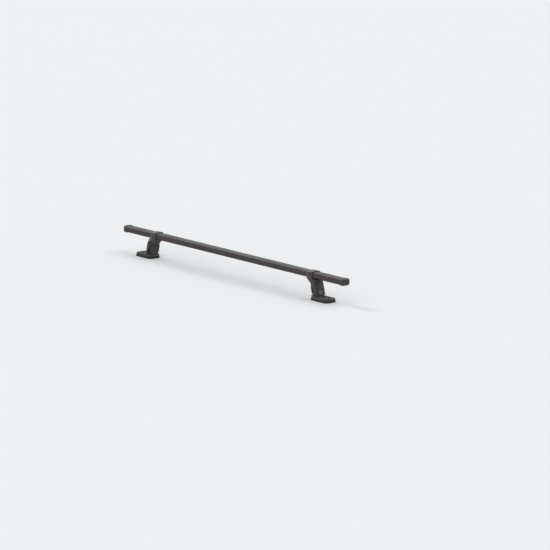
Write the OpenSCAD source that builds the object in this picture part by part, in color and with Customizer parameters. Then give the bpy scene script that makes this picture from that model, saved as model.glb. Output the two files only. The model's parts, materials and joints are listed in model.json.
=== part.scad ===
// Roof rack crossbar: one load bar on two fixed-point feet.
// X runs along the bar, Y along the vehicle, Z up from the roof line.
// A foot is drawn once, with its outboard side towards +X, and mirrored.

/* [Bar] */
// Length of the crossbar over its end caps
bar_len = 1270; // [1000:10:1500]
// Width of the bar along the vehicle
bar_w = 32; // [29:1:36]
// Height of the bar
bar_h = 22; // [18:1:28]
// Wall thickness of the bar tube
bar_wall = 1.5; // [1.2:0.1:2.5]
// Outer corner radius of the bar tube
bar_corner = 6; // [4:0.5:7]

/* [End caps] */
// Length of the cap's sleeve over the bar
sleeve_len = 10; // [8:1:20]
// Thickness of the cap past the end of the tube
cap_end = 6; // [4:0.5:8]
// Wall of the sleeve around the bar
sleeve_wall = 1.4; // [1:0.1:2.5]
// Radius around the end of the cap
cap_round = 7; // [3:0.5:8]
// Length of the plug inside the tube
plug_len = 26; // [16:1:40]
// Wall of the hollow plug
plug_wall = 2; // [1.5:0.5:4]
// Grip ribs along the plug
plug_ribs = 4; // [2:1:6]

/* [Feet] */
// Distance between the two feet, measured at the saddles
foot_spacing = 930; // [700:10:980]
// Height of the underside of the bar above the roof
ride_h = 74; // [72:1:90]
// Outward lean of the tower's inboard face, in degrees
lean_in = 14; // [10:0.5:15]
// Outward lean of the tower's outboard face, in degrees
lean_out = 16.5; // [15:0.5:19]
// Thickness of the tower along the bar at the saddle
tower_top = 22; // [21:0.5:25]
// Side wall of the tower casting
tower_wall = 4; // [3:0.5:4.5]
// Back wall of the tower casting
back_wall = 4; // [3:0.5:4.5]
// Thickness of the plate under the saddle
head_t = 4; // [3:0.5:5]
// Reach of the nose inboard of the tower
nose_len = 19; // [14:1:26]
// Radius of the gusset under the nose
gusset_r = 12; // [8:1:15]
// Rubber liner between the saddle and the bar
liner_t = 1.5; // [1:0.5:2.5]

/* [Clamp] */
// Thickness of the strap's steel
strap_t = 2; // [1.5:0.5:3]
// Bend radius of the strap, measured outside
strap_bend = 6; // [4:0.5:7]
// Width of the strap over the bar
strap_w = 32; // [24:1:36]
// Radius of the eye at the foot of each strap leg
eye_r = 8; // [7:0.5:8.5]
// Diameter of the trunnion nut that joins the legs
trunnion_d = 10; // [8:0.5:11]
// Drop of the trunnion nut below the saddle
trunnion_drop = 18.7; // [18:0.1:19.5]
// Diameter of the clamp bolt
bolt_d = 6; // [5:0.5:6]
// Free lift of the strap with the bolt slackened
strap_lift = 3; // [2:0.5:3.5]
// Thickness of the ledge that takes the bolt
ledge_t = 4; // [3:0.5:5]

/* [Covers] */
// Wall of the moulded covers
cover_wall = 2; // [1.5:0.25:2.5]
// Crown of the outboard cover across its face
cover_crown = 2.5; // [1:0.25:3]
// Corner radius of the outboard cover
cover_corner = 5; // [4:0.5:7]
// Depth of the outboard cover's side skirts
skirt_depth = 11; // [6:0.5:12]
// Diameter of the cover's hinge pin
pin_d = 3; // [2:0.5:3.5]
// Gap between the outboard cover and the top of the shoe
cover_clear = 1.5; // [1:0.5:5]
// Gap between the inboard cover and the top of the shoe
notch_h = 7; // [5:0.5:10]
// Depth of the inboard cover's side skirts
inner_skirt = 4; // [2:0.5:4]

/* [Lock] */
// Diameter of the lock's turning core
core_d = 9; // [7:0.5:9.5]
// Wall of the lock barrel
barrel_wall = 1.5; // [1:0.25:1.5]
// Width of the flange around the lock's face
flange_w = 2; // [1.5:0.25:3]
// Reach of the lock cam from its axis
cam_len = 9; // [8.5:0.25:9.5]
// Thickness of the lock cam
cam_t = 2; // [1.5:0.25:2.5]

/* [Shoe] */
// Length of the shoe along the bar
shoe_len = 88; // [84:1:96]
// Width of the shoe across the bar
shoe_w = 48; // [46:1:60]
// Height of the shoe's crown above the roof
shoe_h = 16; // [15.5:0.5:18]
// Wall of the moulded shoe
shoe_wall = 2.5; // [2:0.25:3]
// Fall of the shoe's top towards the toe
toe_fall = 3.5; // [2:0.5:3.5]
// Fall of the shoe's top towards its sides
side_fall = 2.5; // [1:0.5:3]
// Thickness of the rubber roof pad
pad_t = 4; // [3:0.5:4]
// How far the roof pad stands out around the shoe
pad_proud = 1.5; // [0.5:0.25:2.5]
// Thickness of the steel base bracket
plate_t = 2.5; // [2:0.25:3]

/* [Roof fixing] */
// Distance of the fixing stud outboard of the saddle
stud_x = 58; // [56:1:60]
// Length of the oval well in the toe
well_len = 34; // [30:1:36]
// Width of the oval well in the toe
well_w = 22; // [21:1:26]
// Width of the fixing nut across its flats
nut_af = 13; // [12:0.5:14]
// Height of the fixing nut
nut_h = 6.2; // [5:0.1:6.5]
// Diameter of the nut's threaded hole
nut_bore = 6.8; // [6:0.1:7]
// Diameter of the washer under the nut
washer_d = 19; // [18.5:0.5:20]
// Thickness of the washers
washer_t = 1.4; // [1:0.1:1.6]

/* [Hidden] */
$fn = 48;
arc_steps = 16;

// Clearances
run_gap = 0.3;      // between pieces that slide past each other
seat_gap = 0.1;     // between pieces seated in each other
pin_gap = 0.05;     // around shafts, pins and threads
over = 1;           // how far a cutting shape runs past the face it cuts

// Levels above the roof
plate_z = pad_t + plate_t;
bar_top = ride_h + bar_h;
saddle_z = ride_h - run_gap - liner_t;
head_z = saddle_z - head_t;
trunnion_z = saddle_z - trunnion_drop;
trunnion_r = trunnion_d / 2;
ledge_top = trunnion_z - trunnion_r - 2 * run_gap;
ledge_z = ledge_top - ledge_t;
bolt_head_h = 5;
bolt_af = 10;
bolt_head_z = ledge_z - washer_t - bolt_head_h;

// Tower outline: its inboard and outboard edges at a height z
function x_in(z) = -tower_top / 2 + (saddle_z - z) * tan(lean_in);
function x_out(z) = tower_top / 2 + (saddle_z - z) * tan(lean_out);
tower_w = bar_w;
pocket_w = tower_w - 2 * tower_wall;
nose_x = -tower_top / 2 - nose_len;
back_shift = back_wall / cos(lean_in);

// End caps
cap_crease = 0.3;
plug_rib_t = 1.2;

// Saddle liner
liner_end = 2.5;
liner_corner = 2;

// Clamp: legs lie against the tower's sides and the sides of the bar
leg_in = bar_w / 2 + run_gap;
leg_out = leg_in + strap_t;
bolt_x = x_in(bolt_head_z) + back_shift + bolt_af / (2 * cos(30)) + 2 * run_gap;
strap_out = 4;
strap_in = strap_out - strap_w;
strap_top = bar_top + run_gap + strap_t;
strap_step = 2;
strap_edge_z = ride_h + strap_step;
strap_corner_z = saddle_z - strap_step;
bolt_top = trunnion_z + trunnion_r + strap_lift + over;

// Outboard cover: u outwards and w up along the tower's outboard face
cover_face = run_gap + cover_wall;
cover_in = leg_out + run_gap;
cover_half = cover_in + cover_wall;
function face_point(u, w) = [
    x_out(saddle_z) + u * cos(lean_out) - w * sin(lean_out),
    saddle_z + u * sin(lean_out) + w * cos(lean_out)
];
crown_r = (cover_half * cover_half + cover_crown * cover_crown) / (2 * cover_crown);
pin_off = run_gap + cover_wall / 2;
knuckle_wall = 1.5;
knuckle_top = 1.6;
knuckle_r = pin_d / 2 + knuckle_wall;
pin_drop = knuckle_r + knuckle_top;
knuckle_gap = 2 * run_gap;
pin_at = face_point(pin_off, -pin_drop);
cover_foot_z = shoe_h + cover_clear;
rib_depth = 1.8;
rib_t = 1.6;
rib_end = 3;
inner_corner = 4;

// Lock, in the same frame
barrel_r = core_d / 2 + barrel_wall;
flange_r = barrel_r + flange_w;
flange_t = 1.2;
lock_margin = 1.5;
lock_drop = (saddle_z - cover_foot_z) / cos(lean_out) - flange_r - lock_margin;
lock_face = cover_face + cover_crown;
lock_depth = 10;
cam_x = lock_face - lock_depth - seat_gap;
cam_w = 7;
tang_r = 2;
keeper_in = barrel_r + 2 * run_gap;
keeper_back = 0.5;
keeper_h = 11;
keyway_w = 1.6;
keyway_len = 0.65 * core_d;
keyway_depth = 2.5;

// Shoe and base
shoe_lead = 4;
shoe_in = x_in(shoe_h) - shoe_lead;
shoe_mid = shoe_in + shoe_len / 2;
toe_x = shoe_in + shoe_len;
toe_arc = 60;
shoe_corner = 12;
widest_x = shoe_mid + 5;
side_arc = 220;
plate_in = shoe_in + shoe_wall + 2 * over;
plate_margin = 2 * shoe_wall + 1;
plate_w = shoe_w - 2 * plate_margin;
plate_toe_gap = 7;
plate_end = toe_x - plate_toe_gap;
plate_corner = 8;
hole_gap = 0.4;
stud_play = 2;
slot_w = nut_bore + stud_play;
slot_len = 2 * slot_w;
upstand_gap = 7;    // room for the spanner between the upstand and the bolt's head
upstand_h = bolt_head_z - plate_z - upstand_gap;
screw_d = 5.9;
screw_gap = 6;
screw_rise = upstand_h / 2 + 1;
screw_z = plate_z + screw_rise;
screw_hex = 4;
screw_head_d = 9;
screw_head_h = 3;
lip_h = 1.2;

// Profile in Y and Z, drawn along X
module along_x(length) {
    rotate([90, 0, 90]) linear_extrude(length, center = true) children();
}

// Profile in X and Z, drawn along Y
module along_y(length) {
    rotate([90, 0, 0]) linear_extrude(length, center = true) children();
}

module rounded_rect(w, h, r) {
    square([w - 2 * r, h], center = true);
    square([w, h - 2 * r], center = true);
    for (sx = [-1, 1], sy = [-1, 1]) {
        translate([sx * (w / 2 - r), sy * (h / 2 - r)]) circle(r);
    }
}

// Stadium of a full length and width, lying along X
module oval(length, width) {
    square([length - width, width], center = true);
    for (side = [-1, 1]) translate([side * (length - width) / 2, 0]) circle(width / 2);
}

// A foot stands at one end of the bar, mirrored at the other
module at_foot(side) {
    translate([side * foot_spacing / 2, 0, 0]) mirror([side < 0 ? 1 : 0, 0, 0]) children();
}

// Frame of the leaning outboard face: X outwards, Z up along the face
module on_outer_face() {
    translate([x_out(saddle_z), 0, saddle_z]) rotate([0, -lean_out, 0]) children();
}

// Frame of the leaning inboard face: X into the tower, Z up along the face
module on_inner_face() {
    translate([x_in(saddle_z), 0, saddle_z]) rotate([0, -lean_in, 0]) children();
}

// Points along an arc about c, from one angle to another
function arc_points(c, r, from, to) =
    [for (i = [0:arc_steps]) let (a = from + (to - from) * i / arc_steps) c + r * [cos(a), sin(a)]];

// Point where a line from p touches a circle about c, on the side given
function touch(p, c, r, side) =
    let (d = norm(p - c), a = atan2(p[1] - c[1], p[0] - c[0]) + side * acos(r / d))
    c + r * [cos(a), sin(a)];

// Bar

module bar_profile(grow) {
    rounded_rect(bar_w + 2 * grow, bar_h + 2 * grow, bar_corner + grow);
}

module bar_tube() {
    color([0.13, 0.13, 0.13])
    translate([0, 0, ride_h + bar_h / 2])
    along_x(bar_len - 2 * cap_end) difference() {
        bar_profile(0);
        bar_profile(-bar_wall);
    }
}

// Outer block of a cap from x = 0, rounded over on all four edges of its end
module cap_block() {
    block_len = sleeve_len + cap_end;
    block_w = bar_w + 2 * (sleeve_wall + cap_crease);
    block_h = bar_h + 2 * (sleeve_wall + cap_crease);
    intersection() {
        translate([block_len / 2, 0, 0]) along_x(block_len) bar_profile(sleeve_wall);
        along_y(block_w + over) rounded_rect(2 * block_len, block_h, cap_round);
        linear_extrude(block_h + over, center = true) rounded_rect(2 * block_len, block_w, cap_round);
    }
}

// Cap for one end: a sleeve over the tube and a hollow ribbed plug inside it
module end_cap(side) {
    tube_end = bar_len / 2 - cap_end;
    plug_grow = -bar_wall - 4 * seat_gap;
    rib_pitch = plug_len / (plug_ribs + 1);
    color([0.09, 0.09, 0.09])
    mirror([side < 0 ? 1 : 0, 0, 0]) translate([tube_end, 0, ride_h + bar_h / 2]) {
        difference() {
            translate([-sleeve_len, 0, 0]) cap_block();
            translate([-sleeve_len, 0, 0]) along_x(2 * sleeve_len) bar_profile(seat_gap);
        }
        translate([-plug_len / 2, 0, 0]) along_x(plug_len) difference() {
            bar_profile(plug_grow);
            bar_profile(plug_grow - plug_wall);
        }
        for (i = [1:plug_ribs]) {
            translate([-i * rib_pitch, 0, 0]) along_x(plug_rib_t) difference() {
                bar_profile(-bar_wall - seat_gap);
                bar_profile(plug_grow - plug_wall);
            }
        }
    }
}

// Tower

// Side view of the tower with its nose and the gusset under it
module tower_outline() {
    centre_z = head_z - gusset_r;
    centre_x = x_in(centre_z) - gusset_r / cos(lean_in);
    polygon([
        [nose_x, saddle_z], [x_out(saddle_z), saddle_z], [x_out(plate_z), plate_z], [x_in(plate_z), plate_z],
        each arc_points([centre_x, centre_z], gusset_r, lean_in, 90),
        [nose_x + head_t / 2, head_z], [nose_x, head_z + head_t / 2]
    ]);
}

// Ears at the top of the open side, which hold the cover's pin
module lug_outline() {
    polygon([
        face_point(-over, -pin_drop - knuckle_r),
        each arc_points(pin_at, knuckle_r, lean_out - 90, lean_out + 90),
        face_point(-over, -pin_drop + knuckle_r)
    ]);
}

// Space between the back wall and the open outboard side, from low to high
module pocket_outline(low, high) {
    reach = tower_top + 4 * over;
    polygon([
        [x_in(low) + back_shift, low], [x_out(low) + reach, low],
        [x_out(high) + reach, high], [x_in(high) + back_shift, high]
    ]);
}

// Both pockets, the ledge's edge cut back for the cover's ribs, and room for its knuckle
module pockets_outline() {
    room = knuckle_r + run_gap + seat_gap;
    strip = rib_depth + run_gap;
    low = -(saddle_z - ledge_z) / cos(lean_out) - strip;
    high = -(saddle_z - ledge_top) / cos(lean_out) + strip;
    pocket_outline(plate_z - over, ledge_z);
    pocket_outline(ledge_top, head_z);
    polygon([face_point(-strip, low), face_point(strip, low), face_point(strip, high), face_point(-strip, high)]);
    translate(pin_at) circle(room);
    translate([pin_at[0], pin_at[1] - room]) square([2 * room, 2 * room]);
}

// Shoulder on one pocket wall, which the lock cam turns behind
module keeper() {
    keeper_x = cam_x + run_gap;
    intersection() {
        on_outer_face() translate([keeper_x, keeper_in, -lock_drop - keeper_h / 2])
            cube([-keeper_x - keeper_back, pocket_w / 2 - keeper_in + over, keeper_h]);
        along_y(tower_w) tower_outline();
    }
}

module tower() {
    color([0.2, 0.2, 0.2])
    difference() {
        union() {
            difference() {
                along_y(tower_w) {
                    tower_outline();
                    lug_outline();
                }
                along_y(pocket_w) pockets_outline();
            }
            keeper();
        }
        translate([bolt_x, 0, ledge_z - over]) cylinder(d = bolt_d + 2 * run_gap, h = ledge_t + 2 * over);
        trunnion_slots();
        on_outer_face() translate([pin_off, 0, -pin_drop]) rotate([90, 0, 0])
            cylinder(d = pin_d + 2 * pin_gap, h = tower_w + 2 * over, center = true);
        screw_holes(screw_d + 2 * pin_gap);
    }
}

// Slots in both side walls, in which the trunnion nut rises and falls
module trunnion_slots() {
    slot_h = trunnion_d + strap_lift + 2 * run_gap;
    translate([bolt_x, 0, trunnion_z + strap_lift / 2])
        along_y(tower_w + 2 * over) rotate(90) oval(slot_h, trunnion_d + 2 * run_gap);
}

module screw_holes(diameter) {
    for (side = [-1, 1]) {
        on_inner_face() translate([0, side * screw_gap, -(saddle_z - screw_z) / cos(lean_in)])
            rotate([0, 90, 0]) cylinder(d = diameter, h = 4 * back_wall, center = true);
    }
}

module saddle_liner() {
    liner_out = x_out(saddle_z) - liner_end;
    color([0.07, 0.07, 0.07])
    translate([(nose_x + over + liner_out) / 2, 0, saddle_z])
    linear_extrude(liner_t)
        rounded_rect(liner_out - nose_x - over, bar_w - 2 * over, liner_corner);
}

// Clamp

// Side view of the strap: a band over the bar with legs that taper to the eyes
module strap_outline() {
    eye = [bolt_x, trunnion_z];
    bite_r = eye_r - seat_gap;
    low_in = [strap_in, strap_edge_z];
    low_out = [strap_out, strap_corner_z];
    polygon([
        [strap_in, strap_top + over], [strap_out, strap_top + over], low_out,
        touch(low_out, eye, bite_r, -1), touch(low_in, eye, bite_r, 1), low_in
    ]);
}

// Band bent over the bar, with both its legs straight down
module bent_band() {
    leg_h = strap_top - trunnion_z + eye_r + over;
    translate([(strap_in + bolt_x + eye_r) / 2, 0, strap_top - leg_h])
        along_x(bolt_x + eye_r - strap_in + over) difference() {
            rounded_rect(2 * leg_out, 2 * leg_h, strap_bend);
            rounded_rect(2 * leg_in, 2 * leg_h - 2 * strap_t, strap_bend - strap_t);
        }
}

module clamp_strap() {
    color([0.15, 0.15, 0.15])
    difference() {
        union() {
            intersection() {
                bent_band();
                along_y(2 * leg_out + over) strap_outline();
            }
            for (side = [-1, 1]) {
                translate([bolt_x, side * (leg_in + leg_out) / 2, trunnion_z])
                    along_y(strap_t) circle(eye_r);
            }
        }
        translate([bolt_x, 0, trunnion_z]) rotate([90, 0, 0])
            cylinder(d = trunnion_d + 2 * pin_gap, h = 2 * leg_out + over, center = true);
    }
}

module trunnion_nut() {
    color([0.45, 0.45, 0.44])
    translate([bolt_x, 0, trunnion_z]) difference() {
        rotate([90, 0, 0]) cylinder(d = trunnion_d, h = 2 * leg_out, center = true);
        cylinder(d = bolt_d + 2 * pin_gap, h = trunnion_d + over, center = true);
    }
}

module clamp_bolt() {
    color([0.45, 0.45, 0.44])
    translate([bolt_x, 0, bolt_head_z]) {
        cylinder(d = bolt_af / cos(30), h = bolt_head_h - seat_gap, $fn = 6);
        cylinder(d = bolt_d, h = bolt_top - bolt_head_z);
    }
}

module flat_washer(outer, inner) {
    difference() {
        cylinder(d = outer, h = washer_t - seat_gap);
        translate([0, 0, -over]) cylinder(d = inner, h = washer_t + 2 * over);
    }
}

module bolt_washer() {
    color([0.5, 0.5, 0.49])
    translate([bolt_x, 0, ledge_z - washer_t]) flat_washer(2 * bolt_d, bolt_d + 2 * run_gap);
}

// Outboard cover

// Section of the cover, drawn in the plane square to the leaning face
module cover_section(inset) {
    half = cover_half - inset;
    front = lock_face - inset;
    radius = cover_corner - inset;
    intersection() {
        translate([-skirt_depth, 0])
            rounded_rect(2 * (skirt_depth + front), 2 * half, radius);
        translate([front - crown_r + inset, 0]) circle(crown_r - inset, $fn = 192);
        translate([-skirt_depth, -half]) square([skirt_depth + front, 2 * half]);
    }
}

module cover_shell() {
    length = (saddle_z - cover_foot_z) / cos(lean_out) + 4 * over;
    translate([0, 0, -length]) linear_extrude(length) difference() {
        cover_section(0);
        union() {
            cover_section(cover_wall);
            translate([-skirt_depth - over, -cover_in]) square([skirt_depth, 2 * cover_in]);
        }
    }
}

// Side view that trims the cover at its top and foot
module cover_trim() {
    top_z = saddle_z - pin_drop - knuckle_r - knuckle_gap;
    back = skirt_depth + 2 * over;
    front = lock_face + 4 * over;
    polygon([
        [x_out(cover_foot_z) - back, cover_foot_z], [x_out(cover_foot_z) + front, cover_foot_z],
        [x_out(top_z) + front, top_z], [x_out(top_z) - back, top_z]
    ]);
}

module cover_knuckle() {
    foot = -pin_drop - knuckle_r - knuckle_gap - over;
    width = pocket_w - 2 * run_gap;
    on_outer_face() {
        translate([pin_off, 0, -pin_drop]) along_y(width) circle(knuckle_r);
        translate([run_gap, -width / 2, foot])
            cube([knuckle_r + pin_off - run_gap, width, knuckle_r + over]);
    }
}

module cover_ribs() {
    top = -pin_drop - knuckle_r - rib_end;
    foot = -lock_drop + flange_r + rib_end;
    for (side = [-1, 1]) {
        on_outer_face() translate([-rib_depth, side * pocket_w / 4 - rib_t / 2, foot])
            cube([rib_depth + cover_face + cover_crown / 2, rib_t, top - foot]);
    }
}

module outer_cover() {
    color([0.11, 0.11, 0.11])
    difference() {
        union() {
            intersection() {
                on_outer_face() cover_shell();
                along_y(2 * cover_half + over) cover_trim();
            }
            cover_knuckle();
            cover_ribs();
        }
        on_outer_face() translate([pin_off, 0, -pin_drop]) rotate([90, 0, 0])
            cylinder(d = pin_d + 2 * pin_gap, h = tower_w, center = true);
        on_lock() cylinder(r = barrel_r + seat_gap, h = 4 * lock_depth, center = true);
        on_lock() translate([0, 0, -flange_t / 2]) cylinder(r = flange_r + seat_gap, h = lock_depth);
    }
}

module cover_pin() {
    color([0.5, 0.5, 0.49])
    on_outer_face() translate([pin_off, 0, -pin_drop]) rotate([90, 0, 0])
        cylinder(d = pin_d, h = tower_w - 2 * seat_gap, center = true);
}

// Lock: Z points out of the cover's face along the lock's axis
module on_lock() {
    on_outer_face() translate([lock_face, 0, -lock_drop]) rotate([0, 90, 0]) children();
}

module lock_barrel() {
    color([0.3, 0.3, 0.3])
    on_lock() difference() {
        union() {
            translate([0, 0, -lock_depth]) cylinder(r = barrel_r, h = lock_depth);
            translate([0, 0, seat_gap - flange_t / 2]) cylinder(r = flange_r, h = flange_t);
        }
        translate([0, 0, -lock_depth - over]) cylinder(d = core_d + 2 * pin_gap, h = lock_depth + 4 * over);
    }
}

module lock_core() {
    face = flange_t / 2;
    color([0.55, 0.55, 0.54])
    on_lock() difference() {
        union() {
            translate([0, 0, -lock_depth]) cylinder(d = core_d, h = lock_depth + face);
            translate([0, 0, -lock_depth - cam_t - 2 * seat_gap])
                cylinder(r = tang_r, h = cam_t + over);
        }
        translate([0, 0, face]) cube([keyway_len, keyway_w, 2 * keyway_depth], center = true);
    }
}

module lock_cam() {
    color([0.5, 0.5, 0.49])
    on_lock() translate([0, 0, -lock_depth - cam_t - seat_gap]) difference() {
        union() {
            cylinder(d = cam_w, h = cam_t);
            translate([0, -cam_w / 2, 0]) cube([cam_len, cam_w, cam_t]);
        }
        translate([0, 0, -over]) cylinder(r = tang_r + pin_gap, h = cam_t + 2 * over);
    }
}

// Inboard cover

module inner_cover() {
    top = (saddle_z - ledge_top) / cos(lean_in);
    foot = (saddle_z - shoe_h - notch_h) / cos(lean_in);
    side_in = tower_w / 2 + run_gap;
    side_out = side_in + cover_wall;
    back = run_gap + cover_wall;
    color([0.11, 0.11, 0.11])
    on_inner_face() translate([0, 0, -foot]) linear_extrude(foot - top) intersection() {
        difference() {
            translate([inner_skirt, 0])
                rounded_rect(2 * (inner_skirt + back), 2 * side_out, inner_corner);
            translate([inner_skirt, 0])
                rounded_rect(2 * (inner_skirt + run_gap), 2 * side_in, 2 * run_gap);
        }
        translate([-back, -side_out]) square([inner_skirt + back, 2 * side_out]);
    }
}

// Shoe, roof pad and base bracket

module shoe_outline(grow) {
    intersection() {
        translate([shoe_mid, 0])
            rounded_rect(shoe_len + 2 * grow, shoe_w + 2 * grow, shoe_corner + grow);
        translate([toe_x - toe_arc, 0]) circle(toe_arc + grow, $fn = 192);
        for (side = [-1, 1]) {
            translate([widest_x, side * (side_arc - shoe_w / 2)]) circle(side_arc + grow, $fn = 720);
        }
    }
}

// Crowned block of the shoe: inset from its sides and top
module shoe_form(inset) {
    top = shoe_h - inset;
    length_r = toe_x * toe_x / (2 * toe_fall);
    side_r = shoe_w * shoe_w / (8 * side_fall);
    intersection() {
        translate([0, 0, pad_t]) linear_extrude(shoe_h) shoe_outline(-inset);
        translate([x_out(shoe_h) / 2, 0, top - length_r]) rotate([90, 0, 0])
            cylinder(r = length_r, h = 2 * shoe_w, center = true, $fn = 360);
        translate([shoe_mid, 0, top - side_r]) rotate([0, 90, 0])
            cylinder(r = side_r, h = 2 * shoe_len, center = true, $fn = 192);
    }
}

module tower_room(gap) {
    low = x_in(shoe_h) - gap;
    high = x_out(plate_z) + gap;
    translate([low, -tower_w / 2 - gap, pad_t]) cube([high - low, tower_w + 2 * gap, shoe_h]);
}

module at_stud() {
    translate([stud_x, 0, 0]) children();
}

module shoe() {
    color([0.1, 0.1, 0.1])
    difference() {
        union() {
            difference() {
                shoe_form(0);
                shoe_form(shoe_wall);
            }
            intersection() {
                shoe_form(0);
                union() {
                    tower_room(hole_gap + shoe_wall);
                    at_stud() cylinder_oval(well_len + 2 * shoe_wall, well_w + 2 * shoe_wall, shoe_h);
                    shoe_ribs();
                }
            }
        }
        tower_room(hole_gap);
        at_stud() cylinder_oval(well_len, well_w, shoe_h);
        translate([0, 0, pad_t - over]) linear_extrude(plate_t + over + seat_gap) plate_outline(run_gap);
    }
}

module cylinder_oval(length, width, height) {
    translate([0, 0, pad_t]) linear_extrude(height) oval(length, width);
}

module shoe_ribs() {
    translate([shoe_mid, 0, pad_t + shoe_h / 2])
        cube([shoe_len, shoe_wall / 2, shoe_h], center = true);
    for (x = [x_out(plate_z) + 4 * over, stud_x]) {
        translate([x, 0, pad_t + shoe_h / 2]) cube([shoe_wall / 2, shoe_w, shoe_h], center = true);
    }
}

module plate_outline(grow) {
    length = plate_end - plate_in + 2 * grow;
    translate([(plate_in + plate_end) / 2, 0]) rounded_rect(length, plate_w + 2 * grow, plate_corner + grow);
}

module base_bracket() {
    upstand_x = back_wall + seat_gap;
    top = (saddle_z - plate_z - upstand_h) / cos(lean_in);
    foot = (saddle_z - pad_t) / cos(lean_in);
    width = pocket_w - 2 * run_gap;
    color([0.35, 0.35, 0.35])
    difference() {
        union() {
            translate([0, 0, pad_t]) linear_extrude(plate_t) plate_outline(0);
            intersection() {
                on_inner_face() translate([upstand_x, -width / 2, -foot - over])
                    cube([plate_t, width, foot - top + over]);
                translate([-shoe_len / 2, -width, pad_t]) cube([shoe_len, 2 * width, saddle_z]);
            }
        }
        translate([stud_x, 0, 0]) linear_extrude(shoe_h) oval(slot_len, slot_w);
        screw_holes(screw_d + 2 * run_gap);
    }
}

// Two button-head screws that hold the tower to the bracket's upstand
module tower_screws() {
    head_x = back_wall + plate_t + 2 * seat_gap;
    color([0.5, 0.5, 0.49])
    for (side = [-1, 1]) {
        on_inner_face() translate([0, side * screw_gap, -(saddle_z - screw_z) / cos(lean_in)])
            rotate([0, 90, 0]) difference() {
                union() {
                    translate([0, 0, seat_gap]) cylinder(d = screw_d, h = head_x);
                    translate([0, 0, head_x]) cylinder(d = screw_head_d, h = screw_head_h);
                }
                translate([0, 0, head_x + over]) cylinder(d = screw_hex / cos(30), h = screw_head_h, $fn = 6);
            }
    }
}

// Soft pad under the shoe, with a low lip around the shoe's edge
module roof_pad() {
    color([0.06, 0.06, 0.06])
    difference() {
        linear_extrude(pad_t + lip_h) shoe_outline(pad_proud);
        translate([0, 0, pad_t]) linear_extrude(2 * lip_h) shoe_outline(seat_gap);
        translate([stud_x, 0, -over]) linear_extrude(pad_t + 2 * over)
            oval(slot_len + 2 * over, slot_w + 2 * over);
    }
}

module stud_washer() {
    color([0.5, 0.5, 0.49])
    translate([stud_x, 0, plate_z]) flat_washer(washer_d, slot_w);
}

// Hexagon nut on a round flange, tapped for the roof's stud
module stud_nut() {
    flange_h = 1.4;
    flange_d = washer_d - 2;
    color([0.5, 0.5, 0.49])
    translate([stud_x, 0, plate_z + washer_t]) difference() {
        union() {
            cylinder(d = nut_af / cos(30), h = nut_h, $fn = 6);
            cylinder(d = flange_d, h = flange_h);
        }
        translate([0, 0, -over]) cylinder(d = nut_bore, h = nut_h + 2 * over);
    }
}

bar_tube();
end_cap(-1);  // left_end_cap
end_cap(1);  // right_end_cap
at_foot(-1) tower();  // left_tower
at_foot(1) tower();  // right_tower
at_foot(-1) saddle_liner();  // left_saddle_liner
at_foot(1) saddle_liner();  // right_saddle_liner
at_foot(-1) clamp_strap();  // left_clamp_strap
at_foot(1) clamp_strap();  // right_clamp_strap
at_foot(-1) trunnion_nut();  // left_trunnion_nut
at_foot(1) trunnion_nut();  // right_trunnion_nut
at_foot(-1) clamp_bolt();  // left_clamp_bolt
at_foot(1) clamp_bolt();  // right_clamp_bolt
at_foot(-1) bolt_washer();  // left_bolt_washer
at_foot(1) bolt_washer();  // right_bolt_washer
at_foot(-1) outer_cover();  // left_outer_cover
at_foot(1) outer_cover();  // right_outer_cover
at_foot(-1) cover_pin();  // left_cover_pin
at_foot(1) cover_pin();  // right_cover_pin
at_foot(-1) inner_cover();  // left_inner_cover
at_foot(1) inner_cover();  // right_inner_cover
at_foot(-1) lock_barrel();  // left_lock_barrel
at_foot(1) lock_barrel();  // right_lock_barrel
at_foot(-1) lock_core();  // left_lock_core
at_foot(1) lock_core();  // right_lock_core
at_foot(-1) lock_cam();  // left_lock_cam
at_foot(1) lock_cam();  // right_lock_cam
at_foot(-1) base_bracket();  // left_base_bracket
at_foot(1) base_bracket();  // right_base_bracket
at_foot(-1) tower_screws();  // left_tower_screws
at_foot(1) tower_screws();  // right_tower_screws
at_foot(-1) shoe();  // left_shoe
at_foot(1) shoe();  // right_shoe
at_foot(-1) roof_pad();  // left_roof_pad
at_foot(1) roof_pad();  // right_roof_pad
at_foot(-1) stud_washer();  // left_stud_washer
at_foot(1) stud_washer();  // right_stud_washer
at_foot(-1) stud_nut();  // left_stud_nut
at_foot(1) stud_nut();  // right_stud_nut
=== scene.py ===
import json
import math

import bmesh
import bpy
from mathutils import Matrix, Vector


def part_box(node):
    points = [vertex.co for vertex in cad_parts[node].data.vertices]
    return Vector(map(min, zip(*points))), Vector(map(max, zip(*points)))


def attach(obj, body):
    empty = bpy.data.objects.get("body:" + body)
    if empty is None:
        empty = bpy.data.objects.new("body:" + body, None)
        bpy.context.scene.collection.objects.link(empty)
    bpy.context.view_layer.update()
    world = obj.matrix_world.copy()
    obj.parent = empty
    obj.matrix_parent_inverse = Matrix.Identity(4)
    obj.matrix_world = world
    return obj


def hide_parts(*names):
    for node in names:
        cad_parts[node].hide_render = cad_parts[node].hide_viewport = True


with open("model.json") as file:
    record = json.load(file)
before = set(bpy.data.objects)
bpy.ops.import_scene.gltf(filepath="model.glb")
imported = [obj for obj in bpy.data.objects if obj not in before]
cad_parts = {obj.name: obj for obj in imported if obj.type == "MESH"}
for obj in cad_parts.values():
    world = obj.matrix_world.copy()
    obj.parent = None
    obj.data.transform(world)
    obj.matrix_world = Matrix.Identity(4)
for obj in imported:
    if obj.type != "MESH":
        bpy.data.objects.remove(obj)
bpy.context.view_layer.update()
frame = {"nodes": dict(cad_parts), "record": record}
nodes = frame["nodes"]
bodyOf = {n: b for b, names in frame["record"]["behaviour"]["bodies"].items() for n in names}
slotOfNode = {p["node"]: p["material_slot"] for p in frame["record"]["subparts"]}
mm = 0.001
print("frame loaded with", len(nodes), "nodes")


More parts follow.
